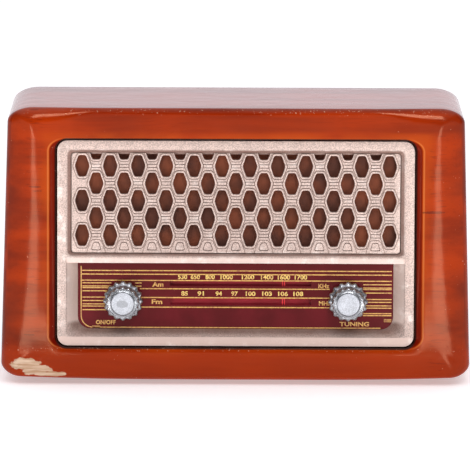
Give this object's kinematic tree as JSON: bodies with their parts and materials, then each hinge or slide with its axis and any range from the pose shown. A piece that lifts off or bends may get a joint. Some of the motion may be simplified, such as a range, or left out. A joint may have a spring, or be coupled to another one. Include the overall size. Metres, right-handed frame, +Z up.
{
  "type": "tabletop radio",
  "caption": "AM/FM tabletop radio in a lacquered wooden cabinet, with a honeycomb speaker grille above a printed dial and two toothed knobs.",
  "frame": {"origin": "under the middle of the bounding box, on the plane the feet stand on", "axes": "+Z up, the front with its knobs faces -Y, +X to the right as seen from the front"},
  "size_m": [0.2794, 0.1168, 0.166],
  "materials": {
    "lacquered_wood": "thick glossy red-brown lacquer",
    "raw_wood": "bare",
    "hardboard": "matte hardboard",
    "champagne": "fine metallic paint",
    "dial_print": "gloss, printed",
    "speaker_cloth": "woven",
    "needle_red": "gloss red",
    "die_cast_silver": "satin silver",
    "bright_silver": "satin",
    "steel": "zinc plated",
    "brass": "satin",
    "black_plastic": "matte",
    "cream_plastic": "satin",
    "cone_paper": "pressed paper pulp",
    "ferrite": "matte grey",
    "board": "phenolic board",
    "copper": "enamelled copper wire",
    "aluminium": "bare",
    "rubber": "matte",
    "cord_thread": "waxed cord"
  },
  "bodies": {
    "cabinet": {"cabinet_shell": "lacquered_wood", "batten_left": "raw_wood", "batten_right": "raw_wood", "front_bezel": "champagne", "speaker_grille": "champagne", "speaker_cloth": "speaker_cloth", "dial_scale": "dial_print", "dial_backing": "dial_print", "speaker_baffle": "raw_wood", "speaker_basket": "steel", "speaker_magnet": "ferrite", "chassis": "steel", "tuning_bushing": "brass", "volume_control": "steel", "dial_cord": "cord_thread", "capacitor_frame": "steel", "dial_lamp_left": "cream_plastic", "dial_lamp_right": "cream_plastic", "circuit_board": "board", "if_transformer_1": "aluminium", "if_transformer_2": "aluminium", "filter_capacitor": "black_plastic", "ferrite_rod": "ferrite", "ferrite_coil": "copper", "ferrite_holder": "cream_plastic", "mains_transformer": "steel", "rear_cover": "hardboard", "power_inlet": "black_plastic", "band_switch": "black_plastic", "speaker_lead": "black_plastic", "mains_lead": "black_plastic", "speaker_screw_1": "steel", "chassis_screw_1": "steel", "cover_screw_1": "steel", "foot_1": "rubber", "speaker_screw_2": "steel", "chassis_screw_2": "steel", "cover_screw_2": "steel", "foot_2": "rubber", "speaker_screw_3": "steel", "chassis_screw_3": "steel", "cover_screw_3": "steel", "foot_3": "rubber", "speaker_screw_4": "steel", "chassis_screw_4": "steel", "cover_screw_4": "steel", "foot_4": "rubber"},
    "tuning": {"tuning_knob": "die_cast_silver", "tuning_knob_cap": "bright_silver", "tuning_spindle": "brass"},
    "volume": {"volume_knob": "die_cast_silver", "volume_knob_cap": "bright_silver", "volume_shaft": "brass"},
    "drum": {"dial_drum": "cream_plastic", "capacitor_rotor": "aluminium"},
    "pointer": {"pointer_carriage": "needle_red"},
    "left_idler": {"idler_pulley_left": "cream_plastic"},
    "right_idler": {"idler_pulley_right": "cream_plastic"},
    "cone": {"speaker_cone": "cone_paper"},
    "band_slide_knob": {"band_slider": "cream_plastic"}
  },
  "joints": [
    {"name": "tuning_turn", "type": "hinge", "parent": "cabinet", "child": "tuning", "pos_m": [0.067, -0.04335, 0.05], "axis": [0, 1, 0], "range_deg": [-1008, 187]},
    {"name": "drum_turn", "type": "hinge", "parent": "cabinet", "child": "drum", "pos_m": [0.02, -0.03345, 0.0385], "axis": [0, 1, 0], "range_deg": [-151.9, 28.3]},
    {"name": "pointer_slide", "type": "slide", "parent": "cabinet", "child": "pointer", "axis": [1, 0, 0], "range_m": [-0.0617, 0.0115]},
    {"name": "left_idler_turn", "type": "hinge", "parent": "cabinet", "child": "left_idler", "pos_m": [-0.048, -0.03345, 0.0631], "axis": [0, 1, 0], "range_deg": [-883, 164]},
    {"name": "right_idler_turn", "type": "hinge", "parent": "cabinet", "child": "right_idler", "pos_m": [0.052, -0.03345, 0.0631], "axis": [0, 1, 0], "range_deg": [-883, 164]},
    {"name": "volume_turn", "type": "hinge", "parent": "cabinet", "child": "volume", "pos_m": [-0.067, -0.04335, 0.05], "axis": [0, 1, 0], "range_deg": [0, 300]},
    {"name": "cone_travel", "type": "slide", "parent": "cabinet", "child": "cone", "axis": [0, 1, 0], "range_m": [-0.0015, 0.0015], "stiffness_N_per_m": 600},
    {"name": "band_slide", "type": "slide", "parent": "cabinet", "child": "band_slide_knob", "axis": [1, 0, 0], "range_m": [0, 0.004]}
  ],
  "couplings": [
    {"joint": "drum_turn", "follows": "tuning_turn", "ratio": 0.15054},
    {"joint": "pointer_slide", "follows": "tuning_turn", "m_per_rad": 0.0035},
    {"joint": "left_idler_turn", "follows": "tuning_turn", "ratio": 0.875},
    {"joint": "right_idler_turn", "follows": "tuning_turn", "ratio": 0.875}
  ]
}
